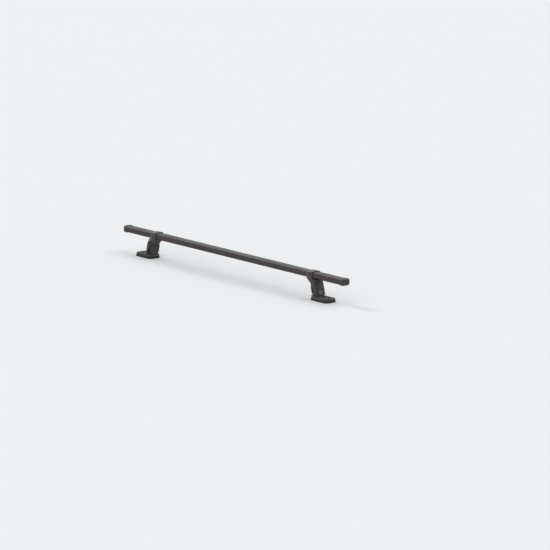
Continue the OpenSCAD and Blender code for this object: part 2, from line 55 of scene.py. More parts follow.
# camera, lamps and floor

cameraSet = {"place": (14.1198, -10.7297, 3.5006), "azimuth": 52.3, "elevation": 11.13, "lens": 337.1,
             "sensor": 36, "near": 1.0, "far": 150}
lampSet = {
    "overhead": {"azimuth": 150, "elevation": 66, "spread": 50, "power": 0.95, "tint": (1.0, 0.985, 0.965)},
    "side": {"azimuth": 284, "elevation": 37, "spread": 20, "power": 0.75, "tint": (1.0, 0.99, 0.975)},
    "front": {"azimuth": 20, "elevation": 34, "spread": 40, "power": 0.6, "tint": (0.97, 0.985, 1.0)},
}
lampAway = 3.0
stageSet = {"pale": (0.88, 0.895, 0.91), "ambient": 0.5, "reach": 60.0, "rough": 0.9, "shine": 0.1}


def towards(azimuth, elevation):
    # unit vector from the object to a place seen at that azimuth and elevation
    a, e = math.radians(azimuth), math.radians(elevation)
    return Vector((math.sin(a) * math.cos(e), -math.cos(a) * math.cos(e), math.sin(e)))


def makeCamera(s):
    data = bpy.data.cameras.new("camera")
    data.lens = s["lens"]
    data.sensor_width = s["sensor"]
    data.clip_start = s["near"]
    data.clip_end = s["far"]
    cam = bpy.data.objects.new("camera", data)
    bpy.context.collection.objects.link(cam)
    cam.location = s["place"]
    cam.rotation_mode = "QUATERNION"
    cam.rotation_quaternion = (-towards(s["azimuth"], s["elevation"])).to_track_quat("-Z", "Y")
    bpy.context.scene.camera = cam


def makeLamps(lamps):
    for name, s in lamps.items():
        data = bpy.data.lights.new(name, "SUN")
        data.energy = s["power"]
        data.angle = math.radians(s["spread"])
        data.color = s["tint"]
        lamp = bpy.data.objects.new(name, data)
        bpy.context.collection.objects.link(lamp)
        back = towards(s["azimuth"], s["elevation"])
        lamp.location = lampAway * back
        lamp.rotation_euler = (-back).to_track_quat("-Z", "Y").to_euler()


def backgroundRay(tree):
    # 1 for rays that look at the background: straight, in a reflection or through glass
    path = tree.nodes.new("ShaderNodeLightPath")
    straight = mathNode(tree, "MAXIMUM", path.outputs["Is Camera Ray"], path.outputs["Is Glossy Ray"])
    return mathNode(tree, "MAXIMUM", straight, path.outputs["Is Transmission Ray"])


def makeWorld(s):
    world = bpy.data.worlds.new("studio")
    world.use_nodes = True
    bpy.context.scene.world = world
    tree = world.node_tree
    tree.nodes.clear()
    soft = tree.nodes.new("ShaderNodeBackground")
    soft.inputs["Color"].default_value = (*s["pale"], 1)
    soft.inputs["Strength"].default_value = s["ambient"]
    seen = tree.nodes.new("ShaderNodeBackground")
    seen.inputs["Color"].default_value = (*s["pale"], 1)
    mix = tree.nodes.new("ShaderNodeMixShader")
    out = tree.nodes.new("ShaderNodeOutputWorld")
    tree.links.new(backgroundRay(tree), mix.inputs[0])
    tree.links.new(soft.outputs[0], mix.inputs[1])
    tree.links.new(seen.outputs[0], mix.inputs[2])
    tree.links.new(mix.outputs[0], out.inputs[0])


def makeFloor(s):
    r = s["reach"]
    mesh = bpy.data.meshes.new("floor")
    mesh.from_pydata([(-r, -r, 0), (r, -r, 0), (r, r, 0), (-r, r, 0)], [], [(0, 1, 2, 3)])
    floor = bpy.data.objects.new("floor", mesh)
    bpy.context.collection.objects.link(floor)
    mat = bpy.data.materials.new("paleFloor")
    mat.use_nodes = True
    shader = mat.node_tree.nodes["Principled BSDF"]
    shader.inputs["Base Color"].default_value = (*s["pale"], 1)
    shader.inputs["Roughness"].default_value = s["rough"]
    shader.inputs["Specular IOR Level"].default_value = s["shine"]
    mesh.materials.append(mat)


# shader helpers

def feed(tree, socket, value):
    # sets a plain value or links an output
    if value is None:
        return
    if isinstance(value, bpy.types.NodeSocket):
        tree.links.new(value, socket)
    elif isinstance(value, tuple) and socket.type == "RGBA":
        socket.default_value = (*value[:3], 1)
    else:
        socket.default_value = value


def mathNode(tree, kind, a, b=None, clamp=False):
    node = tree.nodes.new("ShaderNodeMath")
    node.operation = kind
    node.use_clamp = clamp
    for socket, value in zip(node.inputs, (a, b)):
        feed(tree, socket, value)
    return node.outputs[0]


def mixColour(tree, factor, a, b):
    node = tree.nodes.new("ShaderNodeMix")
    node.data_type = "RGBA"
    for socket, value in ((node.inputs[0], factor), (node.inputs[6], a), (node.inputs[7], b)):
        feed(tree, socket, value)
    return node.outputs[2]


def noiseNode(tree, where, scale, detail=3.0, rough=0.55):
    node = tree.nodes.new("ShaderNodeTexNoise")
    for name, value in (("Vector", where), ("Scale", scale), ("Detail", detail), ("Roughness", rough)):
        feed(tree, node.inputs[name], value)
    return node.outputs[0]


def rangeNode(tree, value, low, high, to=(0.0, 1.0)):
    node = tree.nodes.new("ShaderNodeMapRange")
    for name, number in zip(("Value", "From Min", "From Max", "To Min", "To Max"), (value, low, high, *to)):
        feed(tree, node.inputs[name], number)
    return node.outputs[0]


def newGroup(name, takes, gives):
    tree = bpy.data.node_groups.new(name, "ShaderNodeTree")
    for label, value in takes.items():
        socket = tree.interface.new_socket(name=label, in_out="INPUT", socket_type="NodeSocketFloat")
        socket.default_value = value
    for label in gives:
        tree.interface.new_socket(name=label, in_out="OUTPUT", socket_type="NodeSocketFloat")
    take, give = tree.nodes.new("NodeGroupInput"), tree.nodes.new("NodeGroupOutput")
    return tree, take.outputs, give.inputs, tree.nodes.new("ShaderNodeTexCoord").outputs["Object"]


wornSet = {"takes": {"Radius": 0.0014, "Break": 90.0, "Strength": 1.0}, "samples": 4,
           "bend": (0.004, 0.07), "detail": 4.0, "patch": (0.36, 0.60)}


def makeWornEdge(s):
    # mask of outer edges, broken up so that the rubbing looks uneven
    tree, take, give, place = newGroup("wornEdge", s["takes"], ["Mask"])
    bevel = tree.nodes.new("ShaderNodeBevel")
    bevel.samples = s["samples"]
    tree.links.new(take["Radius"], bevel.inputs["Radius"])
    face = tree.nodes.new("ShaderNodeNewGeometry")
    dot = tree.nodes.new("ShaderNodeVectorMath")
    dot.operation = "DOT_PRODUCT"
    tree.links.new(bevel.outputs[0], dot.inputs[0])
    tree.links.new(face.outputs["Normal"], dot.inputs[1])
    bend = mathNode(tree, "SUBTRACT", 1.0, dot.outputs["Value"])
    edge = rangeNode(tree, bend, *s["bend"])
    patch = rangeNode(tree, noiseNode(tree, place, take["Break"], s["detail"]), *s["patch"])
    mask = mathNode(tree, "MULTIPLY", edge, patch)
    tree.links.new(mathNode(tree, "MULTIPLY", mask, take["Strength"], True), give["Mask"])
    return tree


grainSet = {"takes": {"Fine": 1800.0, "Slow": 14.0}, "detail": 2.0, "cellScale": 0.6, "cellShare": 0.6,
            "slowDetail": 5.0, "slowRough": 0.6, "tone": (0.3, 0.7)}


def makeFineGrain(s):
    # fine coating or mould grain, and a slow drift of tone over the whole piece
    tree, take, give, place = newGroup("fineGrain", s["takes"], ["Height", "Tone"])
    fine = noiseNode(tree, place, take["Fine"], s["detail"])
    cells = tree.nodes.new("ShaderNodeTexVoronoi")
    cells.feature = "SMOOTH_F1"
    tree.links.new(place, cells.inputs["Vector"])
    tree.links.new(mathNode(tree, "MULTIPLY", take["Fine"], s["cellScale"]), cells.inputs["Scale"])
    cellHeight = mathNode(tree, "MULTIPLY", cells.outputs["Distance"], s["cellShare"])
    slow = noiseNode(tree, place, take["Slow"], s["slowDetail"], s["slowRough"])
    tree.links.new(mathNode(tree, "ADD", fine, cellHeight), give["Height"])
    tree.links.new(rangeNode(tree, slow, *s["tone"]), give["Tone"])
    return tree


dustSet = {"takes": {"Amount": 0.3, "Patch": 30.0}, "up": (0.35, 1.0), "detail": 6.0, "rough": 0.65,
           "patch": (0.35, 0.75), "cover": (0.35, 1.0)}


def makeSettledDust(s):
    # thin dust on faces that look up
    tree, take, give, place = newGroup("settledDust", s["takes"], ["Mask"])
    face = tree.nodes.new("ShaderNodeNewGeometry")
    split = tree.nodes.new("ShaderNodeSeparateXYZ")
    tree.links.new(face.outputs["Normal"], split.inputs[0])
    up = rangeNode(tree, split.outputs["Z"], *s["up"])
    cloud = noiseNode(tree, place, take["Patch"], s["detail"], s["rough"])
    patch = rangeNode(tree, cloud, *s["patch"], s["cover"])
    mask = mathNode(tree, "MULTIPLY", up, patch)
    tree.links.new(mathNode(tree, "MULTIPLY", mask, take["Amount"], True), give["Mask"])
    return tree


lineSet = {"takes": {"Across": 900.0, "Along": 6.0, "Scuff": 1.0}, "detail": 2.0,
           "scuff": {"X": 16.0, "Y": 620.0, "Z": 620.0}, "scuffDetail": 3.0, "scuffRough": 0.7,
           "scuffRange": (0.60, 0.74), "placeScale": 9.0, "placeDetail": 2.0, "placeRange": (0.48, 0.60)}


def makeDrawnLines(s):
    # faint lines along X, as drawing leaves them on a long tube, and longer scuffs beside them
    tree, take, give, place = newGroup("drawnLines", s["takes"], ["Height", "Scuffs"])
    split = tree.nodes.new("ShaderNodeSeparateXYZ")
    tree.links.new(place, split.inputs[0])
    join = tree.nodes.new("ShaderNodeCombineXYZ")
    for axis, scale in (("X", "Along"), ("Y", "Across"), ("Z", "Across")):
        tree.links.new(mathNode(tree, "MULTIPLY", split.outputs[axis], take[scale]), join.inputs[axis])
    tree.links.new(noiseNode(tree, join.outputs[0], 1.0, s["detail"]), give["Height"])
    turn = tree.nodes.new("ShaderNodeCombineXYZ")
    for axis, scale in s["scuff"].items():
        tree.links.new(mathNode(tree, "MULTIPLY", split.outputs[axis], scale), turn.inputs[axis])
    streak = noiseNode(tree, turn.outputs[0], 1.0, s["scuffDetail"], s["scuffRough"])
    scuff = rangeNode(tree, streak, *s["scuffRange"])
    where = rangeNode(tree, noiseNode(tree, place, s["placeScale"], s["placeDetail"]), *s["placeRange"])
    scuff = mathNode(tree, "MULTIPLY", mathNode(tree, "MULTIPLY", scuff, where), take["Scuff"], True)
    tree.links.new(scuff, give["Scuffs"])
    return tree


platingSet = {"takes": {"Size": 700.0}, "cloud": 220.0, "detail": 4.0, "rough": 0.6}


def makePlating(s):
    # the uneven, slightly olive tone of black zinc plate
    tree, take, give, place = newGroup("platingSpangle", s["takes"], ["Spangle"])
    cells = tree.nodes.new("ShaderNodeTexVoronoi")
    tree.links.new(place, cells.inputs["Vector"])
    tree.links.new(take["Size"], cells.inputs["Scale"])
    cloud = noiseNode(tree, place, s["cloud"], s["detail"], s["rough"])
    tree.links.new(mathNode(tree, "MULTIPLY", cells.outputs["Distance"], cloud, True), give["Spangle"])
    return tree


def useGroup(tree, group, **values):
    node = tree.nodes.new("ShaderNodeGroup")
    node.node_tree = group
    for name, value in values.items():
        node.inputs[name].default_value = value
    return node.outputs


finishSet = {
    "barCoating": {"colour": (0.031, 0.023, 0.020), "drift": (0.047, 0.036, 0.031), "rough": (0.32, 0.46),
                   "shine": 0.26, "edge": (0.20, 0.175, 0.16), "wear": 0.75, "dust": 0.04,
                   "fine": 1700.0, "slow": 16.0, "bump": 0.00005, "lines": 1.0},
    "capPlastic": {"colour": (0.032, 0.028, 0.027), "drift": (0.046, 0.040, 0.038), "rough": (0.36, 0.50),
                   "shine": 0.4, "edge": (0.14, 0.13, 0.125), "wear": 0.75, "dust": 0.07,
                   "fine": 3200.0, "slow": 60.0, "bump": 0.00012},
    "casting": {"colour": (0.034, 0.031, 0.028), "drift": (0.052, 0.048, 0.043), "rough": (0.34, 0.50),
                "shine": 0.4, "edge": (0.26, 0.255, 0.24), "wear": 0.6, "dust": 0.08,
                "fine": 1400.0, "slow": 45.0, "bump": 0.00014},
    "strapCoating": {"colour": (0.032, 0.027, 0.025), "drift": (0.047, 0.041, 0.037), "rough": (0.26, 0.40),
                     "shine": 0.4, "edge": (0.26, 0.25, 0.24), "wear": 0.7, "dust": 0.05,
                     "fine": 1700.0, "slow": 50.0, "bump": 0.00006},
    "coverPlastic": {"colour": (0.035, 0.033, 0.030), "drift": (0.052, 0.049, 0.045), "rough": (0.50, 0.66),
                     "shine": 0.4, "edge": (0.13, 0.125, 0.12), "wear": 0.6, "dust": 0.09,
                     "fine": 3000.0, "slow": 40.0, "bump": 0.00013},
    "shoePlastic": {"colour": (0.042, 0.040, 0.042), "drift": (0.062, 0.059, 0.061), "rough": (0.52, 0.70),
                    "shine": 0.35, "edge": (0.15, 0.145, 0.145), "wear": 0.6, "dust": 0.10,
                    "fine": 2600.0, "slow": 35.0, "bump": 0.00014},
    "rubber": {"colour": (0.016, 0.016, 0.017), "drift": (0.024, 0.024, 0.025), "rough": (0.74, 0.88),
               "shine": 0.3, "edge": (0.045, 0.045, 0.045), "wear": 0.4, "dust": 0.16,
               "fine": 3000.0, "slow": 55.0, "bump": 0.00012},
    "zinc": {"colour": (0.14, 0.14, 0.135), "drift": (0.23, 0.23, 0.22), "rough": (0.34, 0.52),
             "metal": 1.0, "shine": 0.5, "edge": (0.52, 0.52, 0.50), "wear": 0.7, "dust": 0.06,
             "fine": 900.0, "slow": 160.0, "bump": 0.00006, "plated": True},
    "lockMetal": {"colour": (0.090, 0.088, 0.088), "drift": (0.130, 0.128, 0.128), "rough": (0.28, 0.40),
                  "metal": 1.0, "shine": 0.5, "edge": (0.45, 0.45, 0.45), "wear": 0.6, "dust": 0.05,
                  "fine": 1300.0, "slow": 120.0, "bump": 0.00002},
}


sharedSet = {"olive": (0.30, 0.28, 0.20), "dust": (0.34, 0.33, 0.31), "scuff": 0.5, "dusty": 0.3}


def makeFinish(name, s, groups):
    mat = bpy.data.materials.new(name)
    mat.use_nodes = True
    tree = mat.node_tree
    shader = tree.nodes["Principled BSDF"].inputs
    grain = useGroup(tree, groups["grain"], Fine=s["fine"], Slow=s["slow"])
    worn = useGroup(tree, groups["worn"], Strength=s["wear"])["Mask"]
    dust = useGroup(tree, groups["dust"], Amount=s["dust"])["Mask"]
    colour = mixColour(tree, grain["Tone"], s["colour"], s["drift"])
    height = grain["Height"]
    if "lines" in s:
        drawn = useGroup(tree, groups["lines"], Scuff=s["lines"])
        height = mathNode(tree, "ADD", height, drawn["Height"])
        scuffs = mathNode(tree, "MULTIPLY", drawn["Scuffs"], sharedSet["scuff"])
        colour = mixColour(tree, scuffs, colour, s["edge"])
    if "plated" in s:
        spangle = useGroup(tree, groups["plating"])["Spangle"]
        colour = mixColour(tree, spangle, colour, sharedSet["olive"])
    colour = mixColour(tree, worn, colour, s["edge"])
    colour = mixColour(tree, dust, colour, sharedSet["dust"])
    tree.links.new(colour, shader["Base Color"])
    rough = rangeNode(tree, grain["Tone"], 0.0, 1.0, s["rough"])
    rough = mathNode(tree, "ADD", rough, mathNode(tree, "MULTIPLY", dust, sharedSet["dusty"]), True)
    tree.links.new(rough, shader["Roughness"])
    if "metal" in s:
        tree.links.new(mathNode(tree, "SUBTRACT", s["metal"], dust, True), shader["Metallic"])
    shader["Specular IOR Level"].default_value = s["shine"]
    bump = tree.nodes.new("ShaderNodeBump")
    bump.inputs["Distance"].default_value = s["bump"]
    tree.links.new(height, bump.inputs["Height"])
    tree.links.new(bump.outputs[0], shader["Normal"])
    return mat


makeCamera(cameraSet)
makeLamps(lampSet)
makeWorld(stageSet)
makeFloor(stageSet)
print("camera and studio are in place")

groups = {"worn": makeWornEdge(wornSet), "grain": makeFineGrain(grainSet), "dust": makeSettledDust(dustSet),
          "lines": makeDrawnLines(lineSet), "plating": makePlating(platingSet)}
finishes = {name: makeFinish(name, s, groups) for name, s in finishSet.items()}

slotOf = {"barCoating": "bar_coating", "capPlastic": "cap_plastic", "casting": "casting",
          "strapCoating": "strap_coating", "coverPlastic": "cover_plastic", "shoePlastic": "shoe_plastic",
          "rubber": "rubber", "zinc": "zinc", "lockMetal": "lock_metal"}
finishOf = {slot: name for name, slot in slotOf.items()}
print("finishes made:", ", ".join(finishes))

# CAD solids that stay in view keep their shape and take a finish
for name, solid in nodes.items():
    mat = finishes[finishOf[slotOfNode[name]]]
    if not solid.material_slots:
        solid.data.materials.append(mat)
    for slot in solid.material_slots:
        slot.material = mat


# mesh helpers, with angles in degrees

meshSet = {"weld": 2e-6, "ringWeld": 1e-7, "flat": 0.4, "hard": 32, "softShade": 36, "cutShade": 32,
           "capShade": 34, "tubeShade": 40}


def linked(name, mesh):
    obj = bpy.data.objects.new(name, mesh)
    bpy.context.collection.objects.link(obj)
    return obj


def meshOf(name, work):
    mesh = bpy.data.meshes.new(name)
    work.to_mesh(mesh)
    work.free()
    return mesh


def boxOf(node):
    # lowest corner, highest corner and middle of a CAD node at rest
    low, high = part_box(node)
    return low, high, (low + high) / 2


def smoothShade(mesh, angle):
    mesh.polygons.foreach_set("use_smooth", [True] * len(mesh.polygons))
    mesh.set_sharp_from_angle(angle=math.radians(angle))


def bakedMesh(holder):
    # the plain mesh that a holder's modifiers make, with the holder taken away
    made = bpy.data.meshes.new_from_object(holder.evaluated_get(bpy.context.evaluated_depsgraph_get()))
    holder.modifiers.clear()
    bpy.data.objects.remove(holder)
    return made


def addPiece(name, mesh, finish, body, stands=()):
    mesh.materials.clear()
    mesh.materials.append(finishes[finish])
    piece = linked(name, mesh)
    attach(piece, body)
    if stands:
        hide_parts(*stands)
    return piece


def joinedMesh(name, meshes):
    work = bmesh.new()
    for mesh in meshes:
        work.from_mesh(mesh)
    return meshOf(name, work)


def mirroredMesh(mesh):
    # the same mesh for the foot at the other end of the bar
    work = bmesh.new()
    work.from_mesh(mesh)
    work.transform(Matrix.Scale(-1, 4, (1, 0, 0)))
    bmesh.ops.reverse_faces(work, faces=work.faces)
    return meshOf(mesh.name + "_mirrored", work)


def addToBothFeet(name, mesh, finish, body, stands=""):
    for side in ("right", "left"):
        own = mesh if side == "right" else mirroredMesh(mesh)
        smoothShade(own, meshSet["cutShade"])
        addPiece(side + name, own, finish, side + body, [side + stands] if stands else ())


def roundedEdges(name, mesh, width, steps):
    holder = linked(name + "_holder", mesh)
    rounding = holder.modifiers.new("rounding", "BEVEL")
    rounding.width = width
    rounding.segments = steps
    rounding.limit_method = "ANGLE"
    rounding.angle_limit = math.radians(meshSet["hard"])
    rounding.use_clamp_overlap = True
    made = bakedMesh(holder)
    smoothShade(made, meshSet["softShade"])
    return made


# width of the rounding in mm, and its steps
softSet = {
    "tower": (0.6, 2), "saddle_liner": (0.3, 2), "clamp_strap": (0.4, 2),
    "trunnion_nut": (0.5, 2), "bolt_washer": (0.2, 2), "outer_cover": (0.45, 2), "cover_pin": (0.3, 2),
    "inner_cover": (0.45, 2), "lock_barrel": (0.25, 2), "lock_core": (0.2, 2), "lock_cam": (0.25, 2),
    "base_bracket": (0.3, 2), "shoe": (0.6, 2), "roof_pad": (0.5, 3), "stud_washer": (0.2, 2),
}


def softCopy(name, width, steps):
    # copy of a solid with its hard edges rounded, as casting, moulding and coating leave them
    work = bmesh.new()
    work.from_mesh(nodes[name].data)
    bmesh.ops.remove_doubles(work, verts=work.verts, dist=meshSet["weld"])
    flat = math.radians(meshSet["flat"])
    bmesh.ops.dissolve_limit(work, angle_limit=flat, verts=work.verts, edges=work.edges)
    made = roundedEdges(name, meshOf(name + "_copy", work), width, steps)
    addPiece(name + "_soft", made, finishOf[slotOfNode[name]], bodyOf[name], [name])


for name in nodes:
    kind = name.split("_", 1)[1]
    if kind in softSet:
        width, steps = softSet[kind]
        softCopy(name, width * mm, steps)
print("edges rounded on", len(softSet), "kinds of piece")


# geometry node helpers

def geoTree(name, takes):
    tree = bpy.data.node_groups.new(name, "GeometryNodeTree")
    kinds = {int: "NodeSocketInt", float: "NodeSocketFloat", tuple: "NodeSocketVector",
             "material": "NodeSocketMaterial", "object": "NodeSocketObject"}
    for label, value in takes.items():
        kind = kinds[value if isinstance(value, str) else type(value)]
        socket = tree.interface.new_socket(name=label, in_out="INPUT", socket_type=kind)
        if not isinstance(value, str):
            socket.default_value = value
    tree.interface.new_socket(name="Geometry", in_out="OUTPUT", socket_type="NodeSocketGeometry")
    return tree, tree.nodes.new("NodeGroupInput").outputs


def geoNode(tree, kind, settings=None, **links):
    node = tree.nodes.new("GeometryNode" + kind)
    for key, value in (settings or {}).items():
        setattr(node, key, value)
    for key, value in links.items():
        feed(tree, node.inputs[key.replace("_", " ")], value)
    return node


def closeTree(tree, geometry, material):
    real = geoNode(tree, "RealizeInstances", Geometry=geometry)
    painted = geoNode(tree, "SetMaterial", Geometry=real.outputs[0], Material=material)
    out = tree.nodes.new("NodeGroupOutput")
    tree.links.new(painted.outputs[0], out.inputs[0])


def grownMesh(name, tree, values):
    # runs a tree with these values and gives back its plain mesh
    holder = linked(name + "_holder", bpy.data.meshes.new(name + "_empty"))
    grow = holder.modifiers.new("grow", "NODES")
    grow.node_group = tree
    ids = {item.name: item.identifier for item in tree.interface.items_tree if item.in_out == "INPUT"}
    for label, value in values.items():
        grow[ids[label]] = [float(v) for v in value] if isinstance(value, tuple) else value
    return bakedMesh(holder)


# the bar: a rectangular tube with round corners, pushed out along X

barSet = {"corner": 0.006, "wall": 0.0015, "arcSteps": 10, "weld": 0.00001}
barLow, barHigh, barMid = boxOf("bar_tube")
barSize = barHigh - barLow


def makeTubeTree(s):
    tree, take = geoTree("drawnTube", {"Width": 0.03, "Height": 0.02, "Corner": 0.005, "Wall": 0.0015,
                                       "Length": 1.0, "Place": (0.0, 0.0, 0.0), "Material": "material"})
    both = geoNode(tree, "JoinGeometry")
    for inside in (False, True):
        sizes = [take["Width"], take["Height"], take["Corner"]]
        if inside:
            twice = mathNode(tree, "MULTIPLY", take["Wall"], 2.0)
            sizes = [mathNode(tree, "SUBTRACT", size, less)
                     for size, less in zip(sizes, (twice, twice, take["Wall"]))]
        box = geoNode(tree, "CurvePrimitiveQuadrilateral", Width=sizes[0], Height=sizes[1])
        loop = geoNode(tree, "FilletCurve", {"mode": "POLY"}, Curve=box.outputs[0], Count=s["arcSteps"],
                       Radius=sizes[2])
        tree.links.new(loop.outputs[0], both.inputs[0])
    ring = geoNode(tree, "FillCurve", Curve=both.outputs[0])
    rise = tree.nodes.new("ShaderNodeCombineXYZ")
    tree.links.new(take["Length"], rise.inputs["Z"])
    pushed = geoNode(tree, "ExtrudeMesh", {"mode": "FACES"}, Mesh=ring.outputs[0], Offset=rise.outputs[0],
                     Individual=False)
    start = geoNode(tree, "FlipFaces", Mesh=ring.outputs[0])
    whole = geoNode(tree, "JoinGeometry")
    tree.links.new(pushed.outputs[0], whole.inputs[0])
    tree.links.new(start.outputs[0], whole.inputs[0])
    sealed = geoNode(tree, "MergeByDistance", Geometry=whole.outputs[0], Distance=s["weld"])
    laid = geoNode(tree, "Transform", Geometry=sealed.outputs[0], Translation=take["Place"],
                   Rotation=(math.pi / 2, 0.0, math.pi / 2))
    closeTree(tree, laid.outputs[0], take["Material"])
    return tree


def makeBar(s):
    mesh = grownMesh("bar", makeTubeTree(s), {
        "Width": barSize.y, "Height": barSize.z, "Length": barSize.x, "Corner": s["corner"],
        "Wall": s["wall"], "Place": (barLow.x, 0, barMid.z), "Material": finishes["barCoating"]})
    smoothShade(mesh, meshSet["tubeShade"])
    addPiece("bar_tube_drawn", mesh, "barCoating", "crossbar", ["bar_tube"])
    print("bar drawn with", len(mesh.polygons), "faces")


makeBar(barSet)


# end caps: a sleeve over the tube with a rounded end, and a hollow ribbed plug inside it

capSet = {"least": 0.002, "sleeve": 0.010, "round": 0.007, "crease": 0.0003, "rim": 0.0003, "gap": 0.0001,
          "plugGrow": -0.0019, "plugWall": 0.002, "ribs": 4, "ribThick": 0.0012, "ribRise": 0.0003,
          "steps": 10}


def capRing(s, u, grow):
    # rounded rectangle, u past the tube's end and larger than the bar by grow on each side
    r = max(barSet["corner"] + grow, s["least"])
    y, z = barSize.y / 2 + grow - r, barSize.z / 2 + grow - r
    ring = []
    for quarter, (sy, sz) in enumerate(((1, 1), (-1, 1), (-1, -1), (1, -1))):
        for i in range(s["steps"] + 1):
            a = math.radians(90 * (quarter + i / s["steps"]))
            ring.append((barHigh.x + u, sy * y + r * math.cos(a), barMid.z + sz * z + r * math.sin(a)))
    return ring


def capPath(s, end, wall, plug):
    # the cap's wall from the end face over the sleeve, back under it and round the plug, as (u, grow)
    first = math.degrees(math.acos(1 - s["crease"] / s["round"]))
    turn = [math.radians(90 - (90 - first) * i / s["steps"]) for i in range(s["steps"] + 1)]
    path = [(end - s["round"] * (1 - math.sin(t)), wall + s["crease"] - s["round"] * (1 - math.cos(t)))
            for t in turn]
    path += [(s["rim"] - s["sleeve"], wall), (-s["sleeve"], wall - s["rim"]), (-s["sleeve"], s["gap"]),
             (0, s["gap"]), (0, s["plugGrow"])]
    half, skin = s["ribThick"] / 2, s["plugGrow"]
    rib, inner = skin + s["ribRise"], skin - s["plugWall"]
    for i in range(1, s["ribs"] + 1):
        at = -i * plug / (s["ribs"] + 1)
        path += [(at + half, skin), (at + half, rib), (at - half, rib), (at - half, skin)]
    return path + [(-plug, skin), (-plug, inner), (0, inner)]


def makeEndCaps(s):
    low, high, _ = boxOf("right_end_cap")
    path = capPath(s, high.x - barHigh.x, (high.z - low.z - barSize.z) / 2, barHigh.x - low.x)
    face, floor = (high.x, 0, barMid.z), (barHigh.x, 0, barMid.z)
    mesh = ringMesh("endCap", [[face], *[capRing(s, u, grow) for u, grow in path], [floor]])
    for side in ("right", "left"):
        own = mesh if side == "right" else mirroredMesh(mesh)
        smoothShade(own, meshSet["capShade"])
        addPiece(side + "_cap_moulded", own, "capPlastic", "crossbar", [side + "_end_cap"])


# threads and hexagon heads

threadSet = {"steps": 28, "depth": 0.00042, "corners": 4}
hexSet = {"rim": 0.95, "fall": 30, "slices": 72}
turnedSlices = 48
clampBoltSet = {"head": 0.0049, "radius": 0.003, "plain": 0.0041, "pitch": 0.001, "sunk": 0.0002,
                "neck": (0.0003, 0.0001), "tip": 0.0004, "runOut": 0.0008}
studNutSet = {"af": 0.013, "bore": 0.0034, "flange": 0.0014, "pitch": 0.00125, "sunk": 0.0004,
              "rimInset": 0.0002, "rimLow": 0.0003, "rimHigh": 0.0008, "slices": 64, "threadOut": 0.0001,
              "lead": 0.0006}


def makeThreadTree():
    tree, take = geoTree("spiralThread", {"Radius": 0.003, "Pitch": 0.001, "Turns": 10.0, "Depth": 0.0004,
                                          "Steps": 28, "Start": (0.0, 0.0, 0.0), "Material": "material"})
    rise = mathNode(tree, "MULTIPLY", take["Pitch"], take["Turns"])
    spiral = geoNode(tree, "CurveSpiral", Resolution=take["Steps"], Rotations=take["Turns"],
                     Start_Radius=take["Radius"], End_Radius=take["Radius"], Height=rise)
    ridge = geoNode(tree, "CurvePrimitiveCircle", Resolution=threadSet["corners"], Radius=take["Depth"])
    wound = geoNode(tree, "CurveToMesh", Curve=spiral.outputs[0], Profile_Curve=ridge.outputs[0],
                    Fill_Caps=True)
    put = geoNode(tree, "Transform", Geometry=wound.outputs[0], Translation=take["Start"])
    closeTree(tree, put.outputs[0], take["Material"])
    return tree


def hexRadius(af, degrees):
    # distance from the middle of a hexagon to its side, in that direction
    return af / 2 / math.cos(math.radians((degrees % 60) - 30))


def ringMesh(name, rings):
    # skin over rings of points, each around the same axis, or a single point where the skin closes
    work = bmesh.new()
    rows = [[work.verts.new(p) for p in ring] for ring in rings]
    count = max(len(row) for row in rows)
    for a, b in zip(rows, rows[1:]):
        for i in range(count):
            j = (i + 1) % count
            corners = [a[i % len(a)], a[j % len(a)], b[j % len(b)], b[i % len(b)]]
            work.faces.new([v for k, v in enumerate(corners) if v not in corners[:k]])
    bmesh.ops.remove_doubles(work, verts=work.verts, dist=meshSet["ringWeld"])
    bmesh.ops.recalc_face_normals(work, faces=work.faces)
    return meshOf(name, work)


def roundRing(x, radius, z, slices):
    # a ring about a vertical axis; radius may be one number or one for each slice
    if radius == 0:
        return [(x, 0, z)]
    radii = radius if isinstance(radius, list) else [radius] * slices
    heights = z if isinstance(z, list) else [z] * slices
    turn = [2 * math.pi * i / slices for i in range(slices)]
    return [(x + r * math.cos(a), r * math.sin(a), h) for r, a, h in zip(radii, turn, heights)]


def hexHead(name, af, low, high, x, hole=0, lowCone=True, highCone=True):
    # hexagon prism with its corners turned down to a cone
    slices, rim, fall = hexSet["slices"], hexSet["rim"] * af / 2, math.tan(math.radians(hexSet["fall"]))
    side = [hexRadius(af, 360 * i / slices) for i in range(slices)]
    drop = [(r - rim) * fall for r in side]
    rings = [roundRing(x, hole, low, slices)]
    if lowCone:
        rings.append(roundRing(x, rim, low, slices))
    rings.append(roundRing(x, side, [low + d for d in drop] if lowCone else low, slices))
    rings.append(roundRing(x, side, [high - d for d in drop] if highCone else high, slices))
    if highCone:
        rings.append(roundRing(x, rim, high, slices))
    rings.append(roundRing(x, hole, high, slices))
    return ringMesh(name, rings + ([rings[0]] if hole else []))


def turnedMesh(name, profile, x, slices=turnedSlices):
    return ringMesh(name, [roundRing(x, r, z, slices) for r, z in profile])


def makeClampBolts(s, thread):
    low, high, mid = boxOf("right_clamp_bolt")
    root, headHigh = s["radius"] - threadSet["depth"], low.z + s["head"]
    threadLow, sunk = headHigh + s["plain"], headHigh - s["sunk"]
    head = hexHead("boltHead", high.y - low.y, low.z, headHigh, mid.x, highCone=False)
    shank = turnedMesh("boltShank", [
        (0, sunk), (s["radius"], sunk), (s["radius"], threadLow - s["neck"][0]),
        (root, threadLow + s["neck"][1]), (root, high.z - s["tip"]), (root - s["tip"], high.z),
        (0, high.z)], mid.x)
    wound = grownMesh("boltThread", thread, {
        "Radius": root, "Pitch": s["pitch"], "Turns": (high.z - s["runOut"] - threadLow) / s["pitch"],
        "Depth": threadSet["depth"], "Steps": threadSet["steps"], "Start": (mid.x, 0, threadLow),
        "Material": finishes["zinc"]})
    bolt = joinedMesh("clampBolt", [head, shank, wound])
    addToBothFeet("_clamp_bolt_cut", bolt, "zinc", "_bolt", "_clamp_bolt")


